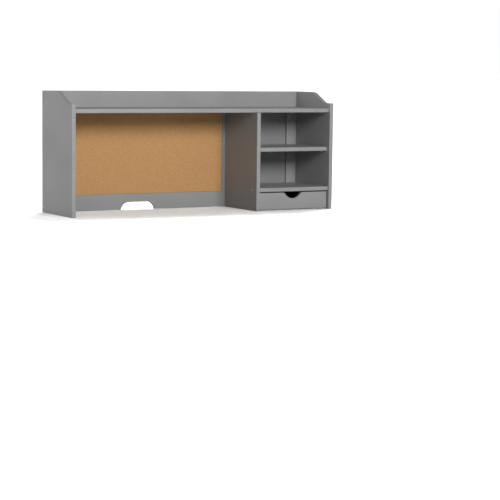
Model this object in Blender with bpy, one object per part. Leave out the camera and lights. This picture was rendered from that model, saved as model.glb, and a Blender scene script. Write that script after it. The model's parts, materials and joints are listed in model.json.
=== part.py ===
"""A desk hutch: the low bookcase that stands on the back half of a writing desk.

Two shaped side panels carry a full-width top shelf with a raised back rail. A divider splits the space
below into a wide bay with a cork board and a narrow stack of two cubbies over a small drawer.

Metres, +Z up, X along the width, the front at -Y. The origin is the middle of the footprint, on the desk.
"""

import math

import bmesh
import bpy
from mathutils import Vector

# ---- Driving dimensions ----------------------------------------------------------------------------
WIDTH = 1.090
DEPTH = 0.266
HEIGHT = 0.445
FRONT_HEIGHT = 0.4045
BOARD = 0.015
FIT = 0.0003
EDGE_RADIUS = 0.0012
EDGE_STEPS = 2

# Side panel outline: a straight slope joins the low front shoulder to the full height.
SHOULDER_FROM_FRONT = 0.0444
SLOPE = math.radians(26.6)
CREST_RADIUS = 0.065
SHOULDER_RADIUS = 0.027
CREST_STEPS = 5

# Shelves, by the height of the top face and the set-back of the front edge.
TOP_SHELF_Z = 0.385
LOOSE_SHELF_Z = 0.2378
FIXED_SHELF_Z = 0.0863
TOP_SHELF_SET_BACK = 0.009
FIXED_SHELF_SET_BACK = 0.006
LOOSE_SHELF_SET_BACK = 0.018
LOOSE_SHELF_SIDE_GAP = 0.001
LOOSE_SHELF_REAR_GAP = 0.003
DIVIDER_FROM_LEFT = 0.7545

# Back frame: two rails and three stiles, with thin panels let into rebates from behind.
FRAME_REAR_INSET = 0.005
TOP_RAIL_HEIGHT = 0.080
BOTTOM_RAIL_HEIGHT = 0.060
SIDE_STILE_WIDTH = 0.044
MIDDLE_STILE_WIDTH = 0.040
REBATE_WIDTH = 0.007
BACKING = 0.005
BACKING_INSET = 0.0015
CORK = 0.006

# Cable outlet in the bottom rail, near the middle of the wide bay.
OUTLET_FROM_LEFT = 0.3815
OUTLET_HEIGHT = 0.0288
OUTLET_FLAT = 0.077
OUTLET_RADIUS = 0.034
OUTLET_STEPS = 6

# Drawer.
DRAWER_SET_BACK = 0.012
DRAWER_BOARD = 0.012
DRAWER_SIDE_GAP = 0.002
DRAWER_FRONT_Z = (0.003, 0.067)
DRAWER_BOX_Z = (0.006, 0.058)
DRAWER_REAR = 0.232
DRAWER_BOX_GAP = 0.007
DRAWER_BOTTOM = 0.004
DRAWER_BOTTOM_Z = 0.0103
DRAWER_BOTTOM_GROOVE = 0.005
NOTCH_DEPTH = 0.0230
NOTCH_RADIUS = 0.042
NOTCH_SHOULDER = 0.010
NOTCH_STEPS = 10
RUNNER = (0.012, 0.010)
RUNNER_Z = 0.027
RUNNER_FROM_FRONT = DRAWER_SET_BACK + DRAWER_BOARD + FIT
RUNNER_LENGTH = 0.210
RUNNER_GROOVE_DEPTH = 0.006
RUNNER_PLAY = 0.0007

SIDES_OF_ROUND = 12

# ---- Derived places --------------------------------------------------------------------------------
FRONT = -DEPTH / 2
LEFT = -WIDTH / 2
FRAME_FRONT = FRONT + DEPTH - FRAME_REAR_INSET - BOARD
FRAME_REAR = FRAME_FRONT + BOARD
FRAME_MIDDLE = FRAME_FRONT + BOARD / 2
BAY_LEFT = LEFT + BOARD
DIVIDER_LEFT = LEFT + DIVIDER_FROM_LEFT
DIVIDER_RIGHT = DIVIDER_LEFT + BOARD
DIVIDER_MIDDLE = DIVIDER_LEFT + BOARD / 2
CUBBY_RIGHT = -LEFT - BOARD
RAIL_UNDERSIDE = HEIGHT - TOP_RAIL_HEIGHT
BACKING_REAR = FRAME_REAR - BACKING_INSET
BACKING_FRONT = BACKING_REAR - BACKING


# ---- Materials -------------------------------------------------------------------------------------
def make_material(name, colour, roughness, metallic=0.0):
    material = bpy.data.materials.new(name)
    material.use_nodes = True
    shader = material.node_tree.nodes["Principled BSDF"]
    shader.inputs["Base Color"].default_value = (*colour, 1.0)
    shader.inputs["Roughness"].default_value = roughness
    shader.inputs["Metallic"].default_value = metallic
    return material


# ---- Shapes ----------------------------------------------------------------------------------------
def rounded_outline(corners, steps):
    """Points of a closed outline. Each corner is (a, b, radius), and a radius above 0 becomes an arc."""
    points = []
    for index, (a, b, radius) in enumerate(corners):
        corner = Vector((a, b))
        before = (Vector(corners[index - 1][:2]) - corner).normalized()
        after = (Vector(corners[(index + 1) % len(corners)][:2]) - corner).normalized()
        if radius == 0:
            points.append(corner)
            continue
        half = before.angle(after) / 2
        centre = corner + (before + after).normalized() * (radius / math.sin(half))
        first = corner + before * (radius / math.tan(half)) - centre
        last = corner + after * (radius / math.tan(half)) - centre
        turn = first.angle_signed(last)
        for step in range(steps + 1):
            angle = -turn * step / steps
            spoke = Vector((first.x * math.cos(angle) - first.y * math.sin(angle),
                            first.x * math.sin(angle) + first.y * math.cos(angle)))
            points.append(centre + spoke)
    return points


def object_from(name, mesh, material, location, parent=None):
    thing = bpy.data.objects.new(name, mesh)
    bpy.context.scene.collection.objects.link(thing)
    mesh.materials.append(material)
    thing.location = location
    if parent:
        thing.parent = parent
        thing.location = Vector(location) - parent.location
    return thing


def finish_mesh(name, shape):
    bmesh.ops.recalc_face_normals(shape, faces=shape.faces)
    mesh = bpy.data.meshes.new(name)
    shape.to_mesh(mesh)
    shape.free()
    mesh.shade_smooth()
    mesh.set_sharp_from_angle(angle=math.radians(35))
    return mesh


def prism(name, outline, axis, start, end, material, parent=None, rounded=None):
    """A board: a closed outline pushed along X, Y or Z from start to end.

    The outline's two numbers are the other two axes in order. rounded(middle, along) picks the edges to
    ease, from an edge's middle and its direction.
    """
    across = [i for i in range(3) if i != "XYZ".index(axis)]
    points = []
    for pair in outline:
        point = Vector((0, 0, 0))
        point["XYZ".index(axis)] = start
        point[across[0]], point[across[1]] = pair
        points.append(point)
    push = Vector((0, 0, 0))
    push["XYZ".index(axis)] = end - start
    low = Vector([min(p[i] for p in points) for i in range(3)])
    high = Vector([max(p[i] for p in points) for i in range(3)]) + push
    middle = (low + high) / 2
    shape = bmesh.new()
    face = shape.faces.new([shape.verts.new(point - middle) for point in points])
    made = bmesh.ops.extrude_face_region(shape, geom=[face])
    moved = [item for item in made["geom"] if isinstance(item, bmesh.types.BMVert)]
    bmesh.ops.translate(shape, verts=moved, vec=push)
    bmesh.ops.recalc_face_normals(shape, faces=shape.faces)
    if rounded:
        chosen = [
            edge for edge in shape.edges
            if edge.calc_face_angle() > math.radians(40)
            and rounded(sum((v.co for v in edge.verts), Vector()) / 2 + middle,
                        (edge.verts[1].co - edge.verts[0].co).normalized())
        ]
        bmesh.ops.bevel(shape, geom=chosen, offset=EDGE_RADIUS, segments=EDGE_STEPS, profile=0.5,
                        affect="EDGES", clamp_overlap=True)
    return object_from(name, finish_mesh(name, shape), material, middle, parent)


def box(name, x, y, z, material, parent=None, rounded=None):
    """A rectangular board between pairs of X, Y and Z."""
    outline = [(x[0], y[0]), (x[1], y[0]), (x[1], y[1]), (x[0], y[1])]
    return prism(name, outline, "Z", z[0], z[1], material, parent, rounded)


def turned_mesh(name, rings):
    """A closed turned shape along local +Z. Each ring is (depth, radius, is_hexagon).

    The first and last rings close to a point on the axis. On a hexagon every second point of the round
    moves in to the flat.
    """
    shape = bmesh.new()
    loops = []
    for depth, radius, is_hexagon in rings:
        loop = []
        for step in range(SIDES_OF_ROUND):
            reach = radius * (math.cos(math.pi / 6) if is_hexagon and step % 2 else 1)
            angle = 2 * math.pi * step / SIDES_OF_ROUND
            loop.append(shape.verts.new((reach * math.cos(angle), reach * math.sin(angle), depth)))
        loops.append(loop)
    for near, far in zip(loops, loops[1:]):
        for step in range(SIDES_OF_ROUND):
            following = (step + 1) % SIDES_OF_ROUND
            shape.faces.new((near[step], near[following], far[following], far[step]))
    shape.faces.new(loops[0])
    shape.faces.new(loops[-1])
    return finish_mesh(name, shape)


# ---- Fasteners -------------------------------------------------------------------------------------
def screw_rings(head, shank, core, through, length, sink, socket):
    """A countersunk screw with a hexagonal socket, as thin as its core below the depth called through."""
    seat = sink + 0.0008
    neck = seat + (head - shank) * 1.6
    rings = [
        (sink + socket * 1.3, socket, True),
        (sink, socket, True),
        (sink, head - 0.0003, False),
        (sink + 0.0003, head, False),
        (seat, head, False),
        (neck, shank, False),
    ]
    if core < shank:
        rings += [(through, shank, False), (through + 0.0015, core, False)]
    return rings + [(length - 0.002, core, False), (length, core * 0.35, False)]


def hole_rings(head, shank, core, through, length, sink):
    """The space that a screw needs, from just outside the board to past its tip."""
    seat = sink + 0.0008
    neck = seat + (head - shank) * 1.6
    rings = [(-0.001, head + FIT, False), (seat, head + FIT, False), (neck, shank + FIT, False)]
    if core < shank:
        rings += [(through + FIT, shank + FIT, False), (through + 0.0015 + FIT, core + FIT, False)]
    return rings + [(length + 0.0005, core + FIT, False)]


def peg_rings(radius, length, chamfer):
    return [
        (0, radius - chamfer, False),
        (chamfer, radius, False),
        (length - chamfer, radius, False),
        (length, radius - chamfer, False),
    ]


def set_along(thing, direction):
    thing.rotation_mode = "QUATERNION"
    thing.rotation_quaternion = Vector(direction).to_track_quat("Z", "Y")


def drill(cutter_mesh, place, direction, boards, parent):
    """Cuts one hidden tool's shape from each board."""
    cutter = object_from("cut_" + cutter_mesh.name, cutter_mesh, materials["zinc"], place, parent)
    cutter.hide_render = True
    cutter.display_type = "WIRE"
    set_along(cutter, direction)
    for board in boards:
        cut = board.modifiers.new("drill", "BOOLEAN")
        cut.operation = "DIFFERENCE"
        cut.object = cutter


def carve(board, x, y, z, parent=None):
    """Cuts a rectangular rebate or groove from a board."""
    cutter = box("cut_" + board.name, x, y, z, materials["zinc"], parent)
    cutter.hide_render = True
    cutter.display_type = "WIRE"
    cut = board.modifiers.new("carve", "BOOLEAN")
    cut.operation = "DIFFERENCE"
    cut.object = cutter


def fasten(name, kind, place, direction, boards, parent=None):
    """One fastener in its own hole through the boards. place is on the face where its head or end lies."""
    mesh, hole, material = fasteners[kind]
    piece = object_from(name, mesh, materials[material], place, parent)
    set_along(piece, direction)
    drill(hole, place, direction, boards, parent)
    return piece


def make_fasteners():
    bolt = dict(head=0.005, shank=0.0035, core=0.0027, through=0.017, length=0.050, sink=0.0004)
    wood_screw = dict(head=0.004, shank=0.002, core=0.002, through=0, length=0.038, sink=0.0004)
    small_screw = dict(head=0.0033, shank=0.0016, core=0.0016, through=0, length=0.020, sink=0.0006)
    drawer_screw = dict(head=0.0033, shank=0.0016, core=0.0016, through=0, length=0.030, sink=0.0004)
    made = {}
    for kind, sizes, socket in (
        ("bolt", bolt, 0.0023),
        ("wood_screw", wood_screw, 0.0014),
        ("small_screw", small_screw, 0.0012),
        ("drawer_screw", drawer_screw, 0.0012),
    ):
        made[kind] = (
            turned_mesh(kind, screw_rings(socket=socket, **sizes)),
            turned_mesh(kind + "_hole", hole_rings(**sizes)),
            "zinc",
        )
    for kind, radius, length in (("dowel", 0.004, 0.029), ("thin_dowel", 0.003, 0.025)):
        made[kind] = (
            turned_mesh(kind, peg_rings(radius, length, 0.0008)),
            turned_mesh(kind + "_hole", [(-FIT, radius + FIT, False), (length + FIT, radius + FIT, False)]),
            "dowel_wood",
        )
    return made


materials = {
    "grey_paint": make_material("grey_paint", (0.255, 0.255, 0.255), 0.42),
    "cork": make_material("cork", (0.50, 0.285, 0.125), 0.9),
    "dowel_wood": make_material("dowel_wood", (0.60, 0.42, 0.24), 0.7),
    "zinc": make_material("zinc", (0.62, 0.62, 0.60), 0.35, 1.0),
}


# ---- Carcass ---------------------------------------------------------------------------------------
def side_panel(name, left):
    crest = SHOULDER_FROM_FRONT + (HEIGHT - FRONT_HEIGHT) / math.tan(SLOPE)
    corners = [
        (FRONT, 0, 0),
        (-FRONT, 0, 0),
        (-FRONT, HEIGHT, 0),
        (FRONT + crest, HEIGHT, CREST_RADIUS),
        (FRONT + SHOULDER_FROM_FRONT, FRONT_HEIGHT, SHOULDER_RADIUS),
        (FRONT, FRONT_HEIGHT, 0),
    ]

    def exposed(middle, along):
        return middle.z > 0.001 and middle.y < -FRONT - 0.001

    outline = rounded_outline(corners, CREST_STEPS)
    return prism(name, outline, "X", left, left + BOARD, materials["grey_paint"], rounded=exposed)


def shelf(name, x, y, top):
    def front_edges(middle, along):
        return abs(along.x) > 0.9 and middle.y < y[0] + 0.001

    return box(name, x, y, (top - BOARD, top), materials["grey_paint"], rounded=front_edges)


def divider():
    def front_edges(middle, along):
        return abs(along.z) > 0.9 and middle.y < FRONT + 0.001

    top = TOP_SHELF_Z - BOARD - FIT
    return box("centre_divider", (DIVIDER_LEFT, DIVIDER_RIGHT), (FRONT, FRAME_FRONT - FIT), (0, top),
               materials["grey_paint"], rounded=front_edges)


def top_rail():
    def top_edges(middle, along):
        return abs(along.x) > 0.9 and middle.z > HEIGHT - 0.001

    return box("back_top_rail", (BAY_LEFT + FIT, CUBBY_RIGHT - FIT), (FRAME_FRONT, FRAME_REAR),
               (RAIL_UNDERSIDE, HEIGHT), materials["grey_paint"], rounded=top_edges)


def bottom_rail():
    """A rail cut away for the cable outlet. The ends of the outlet are arcs centred below the desk top."""
    left, right = BAY_LEFT + FIT, CUBBY_RIGHT - FIT
    middle = LEFT + OUTLET_FROM_LEFT
    drop = OUTLET_RADIUS - OUTLET_HEIGHT
    sweep = math.acos(drop / OUTLET_RADIUS)
    outlet = []
    for side in (-1, 1):
        for step in range(OUTLET_STEPS + 1):
            angle = sweep * (1 - step / OUTLET_STEPS if side < 0 else step / OUTLET_STEPS)
            outlet.append((middle + side * (OUTLET_FLAT / 2 + OUTLET_RADIUS * math.sin(angle)),
                           OUTLET_RADIUS * math.cos(angle) - drop))
    outline = [(left, 0), *outlet, (right, 0), (right, BOTTOM_RAIL_HEIGHT), (left, BOTTOM_RAIL_HEIGHT)]
    return prism("back_bottom_rail", outline, "Y", FRAME_FRONT, FRAME_REAR, materials["grey_paint"])


def stile(name, x):
    return box(name, x, (FRAME_FRONT, FRAME_REAR), (BOTTOM_RAIL_HEIGHT + FIT, RAIL_UNDERSIDE - FIT),
               materials["grey_paint"])


def backing(name, opening, frame):
    """A thin panel behind one opening of the back frame, let into a rebate in each frame piece."""
    x = (opening[0] - REBATE_WIDTH, opening[1] + REBATE_WIDTH)
    z = (BOTTOM_RAIL_HEIGHT - REBATE_WIDTH, RAIL_UNDERSIDE + REBATE_WIDTH)
    for piece in frame:
        carve(piece, (x[0] - FIT, x[1] + FIT), (BACKING_FRONT - FIT, FRAME_REAR + 0.001),
              (z[0] - FIT, z[1] + FIT))
    return box(name, x, (BACKING_FRONT, BACKING_REAR), z, materials["grey_paint"])


def build_carcass():
    parts = {
        "left": side_panel("left_side_panel", LEFT),
        "right": side_panel("right_side_panel", CUBBY_RIGHT),
        "top": shelf("top_shelf", (BAY_LEFT + FIT, CUBBY_RIGHT - FIT),
                     (FRONT + TOP_SHELF_SET_BACK, FRAME_FRONT - FIT), TOP_SHELF_Z),
        "fixed": shelf("lower_cubby_shelf", (DIVIDER_RIGHT + FIT, CUBBY_RIGHT - FIT),
                       (FRONT + FIXED_SHELF_SET_BACK, FRAME_FRONT - FIT), FIXED_SHELF_Z),
        "loose": shelf("upper_cubby_shelf",
                       (DIVIDER_RIGHT + LOOSE_SHELF_SIDE_GAP, CUBBY_RIGHT - LOOSE_SHELF_SIDE_GAP),
                       (FRONT + LOOSE_SHELF_SET_BACK, FRAME_FRONT - LOOSE_SHELF_REAR_GAP), LOOSE_SHELF_Z),
        "divider": divider(),
        "top_rail": top_rail(),
        "bottom_rail": bottom_rail(),
        "left_stile": stile("back_left_stile", (BAY_LEFT + FIT, BAY_LEFT + SIDE_STILE_WIDTH)),
        "middle_stile": stile("back_middle_stile", (DIVIDER_MIDDLE - MIDDLE_STILE_WIDTH / 2,
                                                    DIVIDER_MIDDLE + MIDDLE_STILE_WIDTH / 2)),
        "right_stile": stile("back_right_stile", (CUBBY_RIGHT - SIDE_STILE_WIDTH, CUBBY_RIGHT - FIT)),
    }
    rails = [parts["top_rail"], parts["bottom_rail"], parts["middle_stile"]]
    bay = (BAY_LEFT + SIDE_STILE_WIDTH, DIVIDER_MIDDLE - MIDDLE_STILE_WIDTH / 2)
    cubby = (DIVIDER_MIDDLE + MIDDLE_STILE_WIDTH / 2, CUBBY_RIGHT - SIDE_STILE_WIDTH)
    backing("cork_backing_panel", bay, rails + [parts["left_stile"]])
    backing("cubby_back_panel", cubby, rails + [parts["right_stile"]])
    box("cork_board", (bay[0] + FIT, bay[1] - FIT), (BACKING_FRONT - FIT - CORK, BACKING_FRONT - FIT),
        (BOTTOM_RAIL_HEIGHT + FIT, RAIL_UNDERSIDE - FIT), materials["cork"])
    return parts


def fasten_carcass(parts):
    """Bolts near the front of each board end, with a dowel behind; the back frame is dowelled and screwed."""
    front, rear = FRONT + 0.031, FRONT + 0.200
    top_z, fixed_z = TOP_SHELF_Z - BOARD / 2, FIXED_SHELF_Z - BOARD / 2
    right_face = -LEFT
    for side, face, inner, way in (("left", LEFT, BAY_LEFT, 1), ("right", right_face, CUBBY_RIGHT, -1)):
        panel, into = parts[side], (way, 0, 0)
        fasten(f"{side}_top_shelf_bolt", "bolt", (face, front, top_z), into, (panel, parts["top"]))
        fasten(f"{side}_top_rail_bolt", "bolt", (face, FRAME_MIDDLE, 0.4225), into,
               (panel, parts["top_rail"]))
        fasten(f"{side}_bottom_rail_bolt", "bolt", (face, FRAME_MIDDLE, 0.020), into,
               (panel, parts["bottom_rail"]))
        fasten(f"{side}_top_shelf_dowel", "dowel", (inner - way * 0.010, rear, top_z), into,
               (panel, parts["top"]))
    for end, face, inner, way, panel in (
        ("divider", DIVIDER_LEFT, DIVIDER_RIGHT, 1, parts["divider"]),
        ("right", right_face, CUBBY_RIGHT, -1, parts["right"]),
    ):
        boards, into = (panel, parts["fixed"]), (way, 0, 0)
        fasten(f"{end}_lower_shelf_bolt", "bolt", (face, front, fixed_z), into, boards)
        fasten(f"{end}_lower_shelf_dowel", "dowel", (inner - way * 0.010, rear, fixed_z), into, boards)
    boards = (parts["top"], parts["divider"])
    fasten("divider_top_bolt", "bolt", (DIVIDER_MIDDLE, front, TOP_SHELF_Z), (0, 0, -1), boards)
    fasten("divider_top_dowel", "dowel", (DIVIDER_MIDDLE, rear, TOP_SHELF_Z - BOARD + 0.010), (0, 0, -1),
           boards)
    for count, x in enumerate((-0.45, -0.10, 0.38), 1):
        fasten(f"shelf_back_screw_{count}", "wood_screw", (x, FRAME_REAR, top_z), (0, -1, 0),
               (parts["top_rail"], parts["top"]))
    for count, z in enumerate((0.110, 0.310), 1):
        fasten(f"divider_back_screw_{count}", "wood_screw", (DIVIDER_MIDDLE, FRAME_REAR, z), (0, -1, 0),
               (parts["middle_stile"], parts["divider"]))
    for name, x in (
        ("left", BAY_LEFT + 0.0225),
        ("middle", DIVIDER_MIDDLE),
        ("right", CUBBY_RIGHT - 0.0225),
    ):
        upright = parts[name + "_stile"]
        fasten(f"{name}_stile_lower_dowel", "thin_dowel", (x, FRAME_MIDDLE, BOTTOM_RAIL_HEIGHT - 0.0125),
               (0, 0, 1), (upright, parts["bottom_rail"]))
        fasten(f"{name}_stile_upper_dowel", "thin_dowel", (x, FRAME_MIDDLE, RAIL_UNDERSIDE - 0.0125),
               (0, 0, 1), (upright, parts["top_rail"]))


def support_loose_shelf(parts):
    """Four shelf pins: a thin end in the board and a thicker end under the shelf."""
    in_board, out, thin, thick = 0.009, 0.008, 0.0025, 0.003
    pin = turned_mesh("shelf_pin", [
        (0, thin - 0.0004, False), (0.0004, thin, False), (in_board + FIT, thin, False),
        (in_board + FIT, thick, False), (in_board + out - 0.0005, thick, False),
        (in_board + out, thick - 0.0005, False),
    ])
    hole = turned_mesh("shelf_pin_hole", [(-FIT, thin + FIT, False), (in_board + 0.001, thin + FIT, False)])
    z = LOOSE_SHELF_Z - BOARD - FIT - thick
    for side, face, way, panel in (
        ("left", DIVIDER_RIGHT, 1, parts["divider"]),
        ("right", CUBBY_RIGHT, -1, parts["right"]),
    ):
        for end, y in (("front", FRONT + 0.050), ("rear", FRONT + 0.210)):
            place = (face - way * in_board, y, z)
            piece = object_from(f"shelf_pin_{side}_{end}", pin, materials["zinc"], place)
            set_along(piece, (way, 0, 0))
            drill(hole, place, (way, 0, 0), (panel,), None)


# ---- Drawer ----------------------------------------------------------------------------------------
def notch_outline(middle, top):
    """The finger notch from left to right: a round shoulder, one big arc, and the other shoulder."""
    centre_z = top - NOTCH_DEPTH + NOTCH_RADIUS
    shoulder_z = top - NOTCH_SHOULDER
    apart = NOTCH_RADIUS + NOTCH_SHOULDER
    reach = math.sqrt(apart**2 - (centre_z - shoulder_z) ** 2)
    tilt = math.atan2(reach, centre_z - shoulder_z)
    left = [
        (middle - reach + NOTCH_SHOULDER * math.sin(tilt * step / 3),
         shoulder_z + NOTCH_SHOULDER * math.cos(tilt * step / 3))
        for step in range(3)
    ]
    bowl = [
        (middle + NOTCH_RADIUS * math.sin(tilt * (2 * step / NOTCH_STEPS - 1)),
         centre_z - NOTCH_RADIUS * math.cos(tilt * (2 * step / NOTCH_STEPS - 1)))
        for step in range(NOTCH_STEPS + 1)
    ]
    right = [(2 * middle - x, z) for x, z in reversed(left)]
    return left + bowl + right


def build_drawer():
    carriage = bpy.data.objects.new("drawer_carriage", None)
    bpy.context.scene.collection.objects.link(carriage)
    carriage.location = ((DIVIDER_RIGHT + CUBBY_RIGHT) / 2, FRONT + DRAWER_SET_BACK, DRAWER_FRONT_Z[0])

    grey = materials["grey_paint"]
    face = (FRONT + DRAWER_SET_BACK, FRONT + DRAWER_SET_BACK + DRAWER_BOARD)
    left, right = DIVIDER_RIGHT + DRAWER_SIDE_GAP, CUBBY_RIGHT - DRAWER_SIDE_GAP
    low, top = DRAWER_FRONT_Z
    outline = [(left, low), (right, low), (right, top), *reversed(notch_outline((left + right) / 2, top)),
               (left, top)]

    def front_edges(middle, along):
        return middle.y < face[0] + 0.001

    front = prism("drawer_front", outline, "Y", *face, grey, carriage, front_edges)

    sides = {}
    side_y = (face[1] + FIT, FRONT + DRAWER_REAR)
    for name, x in (
        ("left", (DIVIDER_RIGHT + DRAWER_BOX_GAP, DIVIDER_RIGHT + DRAWER_BOX_GAP + DRAWER_BOARD)),
        ("right", (CUBBY_RIGHT - DRAWER_BOX_GAP - DRAWER_BOARD, CUBBY_RIGHT - DRAWER_BOX_GAP)),
    ):
        sides[name] = box(f"drawer_{name}_side", x, side_y, DRAWER_BOX_Z, grey, carriage)
        outer = x[0] if name == "left" else x[1]
        groove = sorted((outer + (RUNNER_GROOVE_DEPTH if name == "left" else -RUNNER_GROOVE_DEPTH),
                         outer + (-0.001 if name == "left" else 0.001)))
        carve(sides[name], groove, (side_y[0] - 0.001, side_y[1] + 0.001),
              (RUNNER_Z - RUNNER_PLAY, RUNNER_Z + RUNNER[1] + FIT), carriage)

    inner_left = DIVIDER_RIGHT + DRAWER_BOX_GAP + DRAWER_BOARD
    inner_right = CUBBY_RIGHT - DRAWER_BOX_GAP - DRAWER_BOARD
    floor_x = (inner_left - DRAWER_BOTTOM_GROOVE, inner_right + DRAWER_BOTTOM_GROOVE)
    floor_y = (face[1] - DRAWER_BOTTOM_GROOVE, side_y[1])
    floor_z = (DRAWER_BOTTOM_Z, DRAWER_BOTTOM_Z + DRAWER_BOTTOM)
    for board in (front, *sides.values()):
        carve(board, (floor_x[0] - FIT, floor_x[1] + FIT), (floor_y[0] - FIT, floor_y[1] + 0.001),
              (floor_z[0] - FIT, floor_z[1] + FIT), carriage)
    box("drawer_bottom", floor_x, floor_y, floor_z, grey, carriage)
    back = box("drawer_back", (inner_left + FIT, inner_right - FIT), (side_y[1] - DRAWER_BOARD, side_y[1]),
               (floor_z[1] + FIT, DRAWER_BOX_Z[1]), grey, carriage)

    joint_z = 0.047
    for name, way in (("left", 1), ("right", -1)):
        outer = DIVIDER_RIGHT + DRAWER_BOX_GAP if way > 0 else CUBBY_RIGHT - DRAWER_BOX_GAP
        middle = outer + way * DRAWER_BOARD / 2
        fasten(f"drawer_{name}_dowel", "thin_dowel", (middle, face[1] - 0.007, joint_z), (0, 1, 0),
               (front, sides[name]), carriage)
        fasten(f"drawer_{name}_screw", "drawer_screw", (outer, side_y[1] - DRAWER_BOARD / 2, joint_z),
               (way, 0, 0), (sides[name], back), carriage)


def build_runners(parts):
    """A hardwood strip on each side of the drawer bay, which the grooved drawer sides ride on."""
    y = (FRONT + RUNNER_FROM_FRONT, FRONT + RUNNER_FROM_FRONT + RUNNER_LENGTH)
    z = (RUNNER_Z, RUNNER_Z + RUNNER[1])
    for name, face, way, panel in (
        ("left", DIVIDER_RIGHT, 1, parts["divider"]),
        ("right", CUBBY_RIGHT, -1, parts["right"]),
    ):
        x = sorted((face + way * FIT, face + way * (FIT + RUNNER[0])))
        strip = box(f"drawer_runner_{name}", x, y, z, materials["dowel_wood"])
        for end, place in (("front", FRONT + 0.060), ("rear", FRONT + 0.200)):
            fasten(f"runner_screw_{name}_{end}", "small_screw",
                   (face + way * (FIT + RUNNER[0]), place, RUNNER_Z + RUNNER[1] / 2), (-way, 0, 0),
                   (strip, panel))


for leftover in list(bpy.data.objects):
    bpy.data.objects.remove(leftover)
fasteners = make_fasteners()
carcass = build_carcass()
fasten_carcass(carcass)
support_loose_shelf(carcass)
build_runners(carcass)
build_drawer()
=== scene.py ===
"""A desk hutch in grey paint, with a cork board, in a pale studio."""

import json
import math

import bpy
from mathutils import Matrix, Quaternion, Vector


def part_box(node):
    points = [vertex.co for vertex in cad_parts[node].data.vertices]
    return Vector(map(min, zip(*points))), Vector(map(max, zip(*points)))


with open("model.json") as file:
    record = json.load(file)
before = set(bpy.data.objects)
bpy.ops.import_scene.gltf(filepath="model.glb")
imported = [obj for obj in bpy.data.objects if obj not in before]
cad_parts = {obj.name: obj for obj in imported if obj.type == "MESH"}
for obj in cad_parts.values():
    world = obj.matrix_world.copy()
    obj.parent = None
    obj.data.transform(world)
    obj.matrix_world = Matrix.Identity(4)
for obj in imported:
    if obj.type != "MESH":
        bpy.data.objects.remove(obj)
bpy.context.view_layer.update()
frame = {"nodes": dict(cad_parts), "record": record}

NODES = frame["nodes"]
SLOT_OF = {part["node"]: part["material_slot"] for part in frame["record"]["subparts"]}

# ---- Camera and lights ---------------------------------------------------------------------------
CAMERA_PLACE = (-3.0123, -5.6628, 0.5499)
CAMERA_TURN = math.radians(30.03)
CAMERA_DROP = math.radians(6.205)
CAMERA_ROLL = math.radians(0.739)
CAMERA_LENS = 123.1
SENSOR = 36.0
FARTHEST_SEEN = 200.0

TARGET = Vector((0.0, 0.0, 0.22))
# name: (azimuth and elevation in degrees, distance, width, height, watts)
LIGHTS = {
    "front": (5, 18, 4.0, 1.2, 0.9, 90.0),
    "front_left": (-18, 20, 4.0, 1.4, 1.0, 54.0),
    "left": (-105, 10, 4.0, 2.0, 2.0, 74.0),
}
SKY = 0.28

# The floor is a pale square just under the object. What it shows and what it throws back differ.
# The wash is a sun that lights the floor alone, from an azimuth and an elevation in degrees.
FLOOR_REACH = 80.0
FLOOR_DROP = 0.0002
FLOOR_SEEN = 0.86
FLOOR_BOUNCE = 0.24
WASH = 4.5
WASH_SPREAD = math.radians(25)
WASH_FROM = (130, 55)

# ---- Finish --------------------------------------------------------------------------------------
# Lengths are in metres. Colours are linear.
WELD = 2e-5
SOFT_ANGLE = math.radians(50)
EDGE_SOFTENING = 0.0005
EDGE_STEPS = 2
EDGE_RUB = 0.0012
GREY = 0.24
GRANULES_PER_METRE = 680.0
FINES_PER_METRE = 1700.0
# From the most toasted granule to the palest, each with its place on the ramp.
CORK_TONES = (
    (0.0, (0.391, 0.203, 0.080, 1.0)),
    (0.12, (0.451, 0.243, 0.097, 1.0)),
    (0.5, (0.511, 0.290, 0.119, 1.0)),
    (0.85, (0.565, 0.333, 0.145, 1.0)),
    (1.0, (0.604, 0.367, 0.165, 1.0)),
)
CORK_FINES = (0.458, 0.250, 0.102, 1.0)
CORK_SEAM = (0.197, 0.089, 0.034, 1.0)
CORK_BARK = (0.118, 0.054, 0.025, 1.0)
CORK_PATCH = (0.404, 0.220, 0.088, 1.0)
BEECH_DARK = (0.50, 0.315, 0.165, 1.0)
BEECH_PALE = (0.66, 0.455, 0.262, 1.0)
BEECH_FLECK = (0.34, 0.19, 0.09, 1.0)
ZINC_DARK = (0.58, 0.585, 0.59, 1.0)
ZINC_PALE = (0.74, 0.735, 0.71, 1.0)
WHITE = (1.0, 1.0, 1.0, 1.0)


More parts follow.
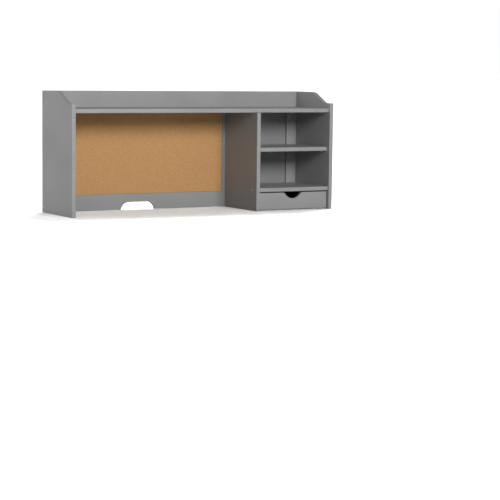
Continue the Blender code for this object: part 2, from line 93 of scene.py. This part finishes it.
# ---- Node helpers --------------------------------------------------------------------------------
class Tree:
    """A material's nodes, with one short call for each kind."""

    def __init__(self, name):
        self.material = bpy.data.materials.new(name)
        self.material.use_nodes = True
        self.nodes = self.material.node_tree.nodes
        self.links = self.material.node_tree.links
        self.shader = self.nodes["Principled BSDF"]

    def add(self, kind, inputs=(), **settings):
        node = self.nodes.new(kind)
        for key, value in settings.items():
            setattr(node, key, value)
        for key, value in dict(inputs).items():
            self.feed(node.inputs[key], value)
        return node

    def feed(self, socket, value):
        """Links the value in when it is another node's output, and sets it when it is not."""
        if isinstance(value, bpy.types.NodeSocket):
            self.links.new(value, socket)
        else:
            socket.default_value = value

    def place(self, scale=(1, 1, 1)):
        where = self.add("ShaderNodeTexCoord").outputs["Object"]
        return self.add("ShaderNodeMapping", {"Vector": where, "Scale": scale}).outputs["Vector"]

    def noise(self, vector, scale, detail=3.0, roughness=0.5, distortion=0.0):
        made = self.add("ShaderNodeTexNoise", {
            "Vector": vector, "Scale": scale, "Detail": detail, "Roughness": roughness,
            "Distortion": distortion,
        })
        return made.outputs["Fac"]

    def remap(self, value, low, high, to_low=0.0, to_high=1.0):
        made = self.add("ShaderNodeMapRange", {
            "Value": value, "From Min": low, "From Max": high, "To Min": to_low, "To Max": to_high,
        })
        return made.outputs["Result"]

    def math(self, operation, a, b):
        return self.add("ShaderNodeMath", {0: a, 1: b}, operation=operation).outputs[0]

    def mix(self, factor, a, b):
        """Blends two colours. This node takes colours at sockets 6 and 7 and gives one at 2."""
        made = self.add("ShaderNodeMix", {0: factor, 6: a, 7: b}, data_type="RGBA")
        return made.outputs[2]

    def bump(self, height, distance, strength):
        inputs = {"Height": height, "Distance": distance, "Strength": strength}
        return self.add("ShaderNodeBump", inputs).outputs["Normal"]

    def edge(self, radius):
        """Near 1 on sharp edges and 0 on flats."""
        soft = self.add("ShaderNodeBevel", {"Radius": radius}, samples=4).outputs["Normal"]
        flat = self.add("ShaderNodeNewGeometry").outputs["Normal"]
        same = self.add("ShaderNodeVectorMath", {0: soft, 1: flat}, operation="DOT_PRODUCT")
        return self.remap(same.outputs["Value"], 1.0, 0.75)

    def set(self, **values):
        for key, value in values.items():
            self.feed(self.shader.inputs[key.replace("_", " ")], value)
        return self.material


def grey(value, tint=(1.0, 1.0, 1.0)):
    return (value * tint[0], value * tint[1], value * tint[2], 1.0)


# ---- Materials -----------------------------------------------------------------------------------
def painted_board(name, grain):
    """Satin paint sprayed on board. The sanding marks run along the axis called grain."""
    tree = Tree(name)
    along = tuple(4.0 if axis == grain else 160.0 for axis in "XYZ")
    plain = tree.place()
    streaks = tree.noise(tree.place(along), 1.0, 4.0, 0.6)
    clouds = tree.noise(plain, 7.0, 3.0, 0.5)
    peel = tree.noise(plain, 520.0, 2.0, 0.4)
    dust = tree.noise(plain, 1900.0, 1.0, 0.5)
    edge = tree.edge(EDGE_RUB)
    tone = tree.mix(tree.remap(clouds, 0.35, 0.65), grey(GREY * 0.965), grey(GREY * 1.035))
    tone = tree.mix(tree.remap(streaks, 0.35, 0.7, 0.0, 0.10), tone, grey(GREY * 0.78))
    speck = tree.remap(dust, 0.70, 0.78, 0.0, 0.15)
    tone = tree.mix(speck, tone, grey(GREY * 1.5))
    wear = tree.remap(tree.noise(plain, 45.0, 3.0, 0.6), 0.42, 0.66, 0.02, 0.12)
    rub = tree.math("MULTIPLY", edge, wear)
    tone = tree.mix(rub, tone, grey(GREY * 1.35, (1.0, 0.99, 0.97)))
    rough = tree.remap(clouds, 0.3, 0.7, 0.38, 0.48)
    rough = tree.math("ADD", rough, tree.math("MULTIPLY", edge, 0.08))
    relief = tree.math("ADD", tree.math("MULTIPLY", streaks, 0.5), tree.math("MULTIPLY", peel, 0.8))
    normal = tree.bump(relief, 0.00012, 0.6)
    return tree.set(Base_Color=tone, Roughness=rough, Normal=normal, IOR=1.48, Coat_Weight=0.06,
                    Coat_Roughness=0.3)


def faced_panel_painted_shade():
    """Thin board faced with a darker, matt printed film. The darker grey is partly the film's own
    colour and partly painted shade: the shade that the divider and the shelves cast on the recessed
    cubby back.
    """
    tree = Tree("grey_film_painted_shade")
    plain = tree.place()
    clouds = tree.noise(plain, 9.0, 3.0, 0.5)
    fibres = tree.noise(tree.place((900.0, 900.0, 120.0)), 1.0, 3.0, 0.6)
    # 0.80 and 0.85 of the paint: this darkening is partly painted shade of the recessed back.
    tone = tree.mix(tree.remap(clouds, 0.35, 0.65), grey(GREY * 0.80), grey(GREY * 0.85))
    tone = tree.mix(tree.remap(fibres, 0.4, 0.7, 0.0, 0.2), tone, grey(GREY * 0.70))
    normal = tree.bump(fibres, 0.00005, 0.5)
    rough = tree.remap(clouds, 0.3, 0.7, 0.48, 0.56)
    return tree.set(Base_Color=tone, Roughness=rough, Normal=normal)


def cork():
    """Pressed granules: pale and toasted ones, dark bark between, and pores."""
    tree = Tree("cork")
    plain = tree.place()
    wobble = tree.add("ShaderNodeTexNoise", {"Vector": plain, "Scale": 380.0, "Detail": 2.0})
    shift = tree.add("ShaderNodeVectorMath", {0: wobble.outputs["Color"], "Scale": 0.0014},
                     operation="SCALE")
    moved = tree.add("ShaderNodeVectorMath", {0: plain, 1: shift.outputs[0]}, operation="ADD")
    bent = moved.outputs[0]
    grain = tree.add("ShaderNodeTexVoronoi", {"Vector": bent, "Scale": GRANULES_PER_METRE})
    rim = tree.add("ShaderNodeTexVoronoi", {"Vector": bent, "Scale": GRANULES_PER_METRE},
                   feature="DISTANCE_TO_EDGE").outputs["Distance"]
    fines = tree.add("ShaderNodeTexVoronoi", {"Vector": bent, "Scale": FINES_PER_METRE})
    pick = tree.add("ShaderNodeSeparateColor", {"Color": grain.outputs["Color"]}).outputs[0]
    small = tree.add("ShaderNodeSeparateColor", {"Color": fines.outputs["Color"]}).outputs[1]
    ramp = tree.add("ShaderNodeValToRGB", {"Fac": pick})
    stops = ramp.color_ramp.elements
    stops[0].color = CORK_TONES[0][1]
    stops[1].color = CORK_TONES[-1][1]
    for where, colour in CORK_TONES[1:-1]:
        stops.new(where).color = colour
    tone = tree.mix(tree.remap(small, 0.0, 1.0, 0.0, 0.35), ramp.outputs["Color"], CORK_FINES)
    tone = tree.mix(tree.remap(rim, 0.0, 0.10, 0.42, 0.0), tone, CORK_SEAM)
    bark = tree.remap(tree.noise(plain, 520.0, 2.0, 0.6), 0.66, 0.72)
    tone = tree.mix(tree.math("MULTIPLY", bark, 0.7), tone, CORK_BARK)
    patches = tree.remap(tree.noise(plain, 26.0, 3.0, 0.6), 0.3, 0.7, 0.0, 0.16)
    tone = tree.mix(patches, tone, CORK_PATCH)
    height = tree.math("ADD", tree.remap(rim, 0.0, 0.16), tree.math("MULTIPLY", small, 0.5))
    height = tree.math("SUBTRACT", height, tree.math("MULTIPLY", bark, 0.8))
    normal = tree.bump(height, 0.00022, 0.8)
    rough = tree.remap(pick, 0.0, 1.0, 0.82, 0.95)
    return tree.set(Base_Color=tone, Roughness=rough, Normal=normal, Specular_IOR_Level=0.25)


def raw_wood(name, along):
    """Beech with fine flecks. The grain runs along the axis called along."""
    tree = Tree(name)
    coarse = tuple(6.0 if axis == along else 420.0 for axis in "XYZ")
    fine = tuple(70.0 if axis == along else 1500.0 for axis in "XYZ")
    bands = tree.noise(tree.place(coarse), 1.0, 4.0, 0.65, 0.4)
    flecks = tree.noise(tree.place(fine), 1.0, 2.0)
    tone = tree.mix(tree.remap(bands, 0.3, 0.7), BEECH_DARK, BEECH_PALE)
    tone = tree.mix(tree.remap(flecks, 0.6, 0.7, 0.0, 0.5), tone, BEECH_FLECK)
    normal = tree.bump(bands, 0.0001, 0.5)
    rough = tree.remap(bands, 0.3, 0.7, 0.62, 0.5)
    return tree.set(Base_Color=tone, Roughness=rough, Normal=normal)


def plated_steel():
    """Zinc-plated steel with a spangled, faintly scratched surface."""
    tree = Tree("zinc")
    plain = tree.place()
    spangle = tree.add("ShaderNodeTexVoronoi", {"Vector": plain, "Scale": 1600.0}).outputs["Color"]
    pick = tree.add("ShaderNodeSeparateColor", {"Color": spangle}).outputs[0]
    scratch = tree.noise(tree.place((300.0, 4200.0, 4200.0)), 1.0, 2.0)
    tone = tree.mix(pick, ZINC_DARK, ZINC_PALE)
    normal = tree.bump(scratch, 0.00003, 0.5)
    rough = tree.remap(pick, 0.0, 1.0, 0.24, 0.38)
    return tree.set(Base_Color=tone, Metallic=1.0, Roughness=rough, Normal=normal)


def paint_everything():
    paint = {grain: painted_board("grey_paint_" + grain.lower(), grain) for grain in "XYZ"}
    wood = {along: raw_wood("beech_" + along.lower(), along) for along in "XYZ"}
    film, cork_sheet, zinc = faced_panel_painted_shade(), cork(), plated_steel()
    for name, node in NODES.items():
        low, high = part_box(name)
        size = high - low
        longest = "XYZ"[max(range(3), key=lambda axis: size[axis])]
        slot = SLOT_OF[name]
        # The cubby back and the cork's backing get the film, whose darker grey is partly painted
        # shade.
        if name in ("cubby_back_panel", "cork_backing_panel"):
            material = film
        elif slot == "grey_paint":
            material = paint[longest]
        elif slot == "cork":
            material = cork_sheet
        elif slot == "dowel_wood":
            material = wood[longest]
        else:
            material = zinc
        for place in node.material_slots:
            place.material = material


# ---- Edges ---------------------------------------------------------------------------------------
def smoothing_group():
    """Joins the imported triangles, and shades them smooth except at sharp edges."""
    group = bpy.data.node_groups.new("joined_smooth", "GeometryNodeTree")
    group.interface.new_socket("Geometry", in_out="INPUT", socket_type="NodeSocketGeometry")
    group.interface.new_socket("Geometry", in_out="OUTPUT", socket_type="NodeSocketGeometry")
    nodes, links = group.nodes, group.links
    start = nodes.new("NodeGroupInput")
    weld = nodes.new("GeometryNodeMergeByDistance")
    weld.inputs["Distance"].default_value = WELD
    drop = nodes.new("GeometryNodeRemoveAttribute")
    drop.inputs["Name"].default_value = "custom_normal"
    angle = nodes.new("GeometryNodeInputMeshEdgeAngle")
    soft = nodes.new("FunctionNodeCompare")
    soft.data_type = "FLOAT"
    soft.operation = "LESS_THAN"
    soft.inputs["B"].default_value = SOFT_ANGLE
    faces = nodes.new("GeometryNodeSetShadeSmooth")
    faces.domain = "FACE"
    edges = nodes.new("GeometryNodeSetShadeSmooth")
    edges.domain = "EDGE"
    end = nodes.new("NodeGroupOutput")
    links.new(start.outputs[0], weld.inputs["Geometry"])
    links.new(weld.outputs["Geometry"], drop.inputs["Geometry"])
    links.new(drop.outputs["Geometry"], faces.inputs["Geometry"])
    links.new(faces.outputs["Geometry"], edges.inputs["Geometry"])
    links.new(angle.outputs["Unsigned Angle"], soft.inputs["A"])
    links.new(soft.outputs["Result"], edges.inputs["Shade Smooth"])
    links.new(edges.outputs["Geometry"], end.inputs[0])
    return group


def soften_edges():
    group = smoothing_group()
    for name, node in NODES.items():
        join = node.modifiers.new("join", "NODES")
        join.node_group = group
        if SLOT_OF[name] in ("grey_paint", "cork", "dowel_wood"):
            bevel = node.modifiers.new("soften", "BEVEL")
            bevel.width = EDGE_SOFTENING
            bevel.segments = EDGE_STEPS
            bevel.limit_method = "ANGLE"
            bevel.angle_limit = SOFT_ANGLE
            bevel.use_clamp_overlap = True
            bevel.loop_slide = False
        shade = node.modifiers.new("shade", "WEIGHTED_NORMAL")
        shade.keep_sharp = True


# ---- Stage ---------------------------------------------------------------------------------------
def outward(azimuth, elevation):
    """The direction from the object to a bearing. Azimuth 0 is in front, 90 to the right."""
    turn, rise = math.radians(azimuth), math.radians(elevation)
    level = math.cos(rise)
    return Vector((math.sin(turn) * level, -math.cos(turn) * level, math.sin(rise)))


def put(name, data, place=(0.0, 0.0, 0.0), ahead=None):
    """Stands an object in the scene. A lamp or a camera also looks ahead."""
    thing = bpy.data.objects.new(name, data)
    bpy.context.scene.collection.objects.link(thing)
    thing.location = place
    if ahead is not None:
        thing.rotation_mode = "QUATERNION"
        thing.rotation_quaternion = ahead.to_track_quat("-Z", "Y")
    return thing


def make_floor():
    """A pale floor that throws back as little light as a grey desk top, and has its own lamp."""
    mesh = bpy.data.meshes.new("floor")
    signs = ((-1, -1), (1, -1), (1, 1), (-1, 1))
    corners = [(FLOOR_REACH * x, FLOOR_REACH * y, 0) for x, y in signs]
    mesh.from_pydata(corners, [], [(0, 1, 2, 3)])
    floor = put("floor", mesh, (0.0, 0.0, -FLOOR_DROP))
    tree = Tree("pale_floor")
    seen = tree.add("ShaderNodeLightPath").outputs["Is Camera Ray"]
    tone = tree.mix(seen, grey(FLOOR_BOUNCE), grey(FLOOR_SEEN))
    mesh.materials.append(tree.set(Base_Color=tone, Roughness=0.8, Specular_IOR_Level=0.1))

    wash = bpy.data.lights.new("wash", "SUN")
    wash.energy = WASH
    wash.angle = WASH_SPREAD
    holder = put("wash", wash, ahead=-outward(*WASH_FROM))
    lit = bpy.data.collections.new("lit_by_wash")
    lit.objects.link(floor)
    holder.light_linking.receiver_collection = lit


def make_sky():
    world = bpy.data.worlds.new("studio")
    bpy.context.scene.world = world
    world.use_nodes = True
    nodes, links = world.node_tree.nodes, world.node_tree.links
    lit = nodes["Background"]
    lit.inputs["Strength"].default_value = SKY
    lit.inputs["Color"].default_value = WHITE
    seen = nodes.new("ShaderNodeBackground")
    seen.inputs["Color"].default_value = WHITE
    seen.inputs["Strength"].default_value = 1.0
    path = nodes.new("ShaderNodeLightPath")
    choose = nodes.new("ShaderNodeMixShader")
    links.new(path.outputs["Is Camera Ray"], choose.inputs[0])
    links.new(lit.outputs[0], choose.inputs[1])
    links.new(seen.outputs[0], choose.inputs[2])
    links.new(choose.outputs[0], nodes["World Output"].inputs["Surface"])


def make_lights():
    for name, (azimuth, elevation, distance, width, height, watts) in LIGHTS.items():
        back = outward(azimuth, elevation)
        lamp = bpy.data.lights.new(name, "AREA")
        lamp.shape = "RECTANGLE"
        lamp.size = width
        lamp.size_y = height
        lamp.energy = watts
        put(name, lamp, TARGET + back * distance, -back).visible_camera = False


def make_camera():
    camera = bpy.data.cameras.new("camera")
    camera.lens = CAMERA_LENS
    camera.sensor_width = SENSOR
    camera.clip_end = FARTHEST_SEEN
    level = math.cos(CAMERA_DROP)
    ahead = Vector((math.sin(CAMERA_TURN) * level, math.cos(CAMERA_TURN) * level,
                    -math.sin(CAMERA_DROP)))
    holder = put("camera", camera, CAMERA_PLACE, ahead)
    holder.rotation_quaternion = holder.rotation_quaternion @ Quaternion((0, 0, 1), CAMERA_ROLL)
    bpy.context.scene.camera = holder


paint_everything()
soften_edges()
make_floor()
make_sky()
make_lights()
make_camera()
bpy.context.scene.view_settings.view_transform = "Standard"
